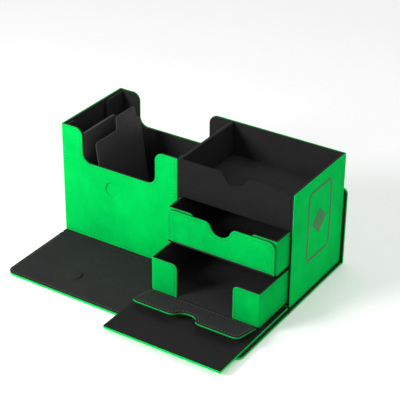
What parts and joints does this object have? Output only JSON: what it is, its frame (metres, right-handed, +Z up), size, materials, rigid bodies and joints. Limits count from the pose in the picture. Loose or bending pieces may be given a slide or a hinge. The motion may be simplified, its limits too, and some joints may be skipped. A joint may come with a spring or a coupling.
{
  "type": "card deck box",
  "caption": "Fabric-covered game card box with a detachable folding lid, an open deck bay, a small tray, pull-out drawers with front flaps and a fold-down door.",
  "frame": {"origin": "on the surface that the box stands on, under the middle of the case's footprint", "axes": "+Z up; +X to the right along the length of the case, towards the drawers; -Y to the front, where the deck bay's cut-out, the door and the lid's front flap are"},
  "size_m": [0.2322, 0.1982, 0.1087],
  "materials": {
    "green_microfibre": "matt suede",
    "black_microfibre": "matt suede",
    "board": "plain grey-brown board",
    "grey_card": "matt",
    "emblem_print": "matt print",
    "magnet": "nickel plated",
    "catch_steel": "plain"
  },
  "bodies": {
    "lid": {"lid_panel_cover": "green_microfibre", "lid_panel_board": "board", "lid_panel_lining": "black_microfibre", "lid_front_hinge": "green_microfibre", "lid_back_hinge": "green_microfibre"},
    "lid_front_flap": {"lid_front_cover": "green_microfibre", "lid_front_board": "board", "lid_front_lining": "black_microfibre", "lid_front_bumps": "black_microfibre", "lid_front_magnets": "magnet"},
    "lid_back_flap": {"lid_back_cover": "green_microfibre", "lid_back_board": "board", "lid_back_lining": "black_microfibre", "lid_back_magnets": "magnet"},
    "case": {"case_cover": "green_microfibre", "base_cover": "green_microfibre", "base_board": "board", "base_lining": "black_microfibre", "left_wall_board": "board", "left_wall_lining": "black_microfibre", "right_wall_board": "board", "right_wall_lining": "black_microfibre", "back_wall_board": "board", "back_wall_lining": "black_microfibre", "front_wall_board": "board", "front_wall_lining": "black_microfibre", "back_catch_plates": "catch_steel", "front_catch_plate": "catch_steel", "partition": "black_microfibre", "drawer_shelf": "black_microfibre", "tray_floor": "black_microfibre", "tray_front": "black_microfibre", "tray_catch_plates": "catch_steel", "left_liner": "black_microfibre", "partition_liner": "black_microfibre", "emblem": "emblem_print", "door_hinge": "green_microfibre"},
    "door": {"door_cover": "green_microfibre", "door_board": "board", "door_lining": "black_microfibre", "door_catch_plate": "catch_steel", "door_magnets": "magnet"},
    "upper_drawer": {"upper_drawer_cover": "green_microfibre", "upper_drawer_tray": "black_microfibre", "upper_drawer_flap_hinge": "green_microfibre"},
    "upper_flap": {"upper_flap_cover": "green_microfibre", "upper_flap_board": "board", "upper_flap_lining": "black_microfibre"},
    "lower_drawer": {"lower_drawer_cover": "green_microfibre", "lower_drawer_tray": "black_microfibre", "lower_drawer_flap_hinge": "green_microfibre"},
    "lower_flap": {"lower_flap_cover": "green_microfibre", "lower_flap_board": "board", "lower_flap_lining": "black_microfibre"},
    "spacer": {"deck_spacer": "grey_card"},
    "tab_card": {"card_divider": "grey_card"}
  },
  "joints": [
    {"name": "case_lift", "type": "slide", "parent": "lid", "child": "case", "axis": [0, 0, 1], "range_m": [0, 0.28]},
    {"name": "door_fold", "type": "hinge", "parent": "case", "child": "door", "pos_m": [0, -0.04685, 0.0035], "axis": [1, 0, 0], "range_deg": [0, 90]},
    {"name": "lid_front_fold", "type": "hinge", "parent": "lid", "child": "lid_front_flap", "pos_m": [0, -0.04955, 0.0005], "axis": [-1, 0, 0], "range_deg": [0, 90]},
    {"name": "lid_back_fold", "type": "hinge", "parent": "lid", "child": "lid_back_flap", "pos_m": [0, 0.04655, 0.0005], "axis": [-1, 0, 0], "range_deg": [0, 90]},
    {"name": "upper_drawer_slide", "type": "slide", "parent": "case", "child": "upper_drawer", "axis": [0, -1, 0], "range_m": [-0.0212, 0.055]},
    {"name": "upper_flap_fold", "type": "hinge", "parent": "upper_drawer", "child": "upper_flap", "pos_m": [0, -0.06455, 0.0427], "axis": [1, 0, 0], "range_deg": [0, 90]},
    {"name": "lower_drawer_slide", "type": "slide", "parent": "case", "child": "lower_drawer", "axis": [0, -1, 0], "range_m": [-0.0463, 0.03]},
    {"name": "lower_flap_fold", "type": "hinge", "parent": "lower_drawer", "child": "lower_flap", "pos_m": [0, -0.08965, 0.0072], "axis": [1, 0, 0], "range_deg": [-77, 13]},
    {"name": "spacer_lift", "type": "slide", "parent": "case", "child": "spacer", "axis": [0, 0, 1], "range_m": [0, 0.1]},
    {"name": "divider_lift", "type": "slide", "parent": "case", "child": "tab_card", "axis": [0, 0, 1], "range_m": [0, 0.11]}
  ],
  "couplings": [
    {"joint": "door_fold", "follows": "case_lift", "rad_per_m": 5.6},
    {"joint": "lid_front_fold", "follows": "case_lift", "rad_per_m": 5.6}
  ]
}
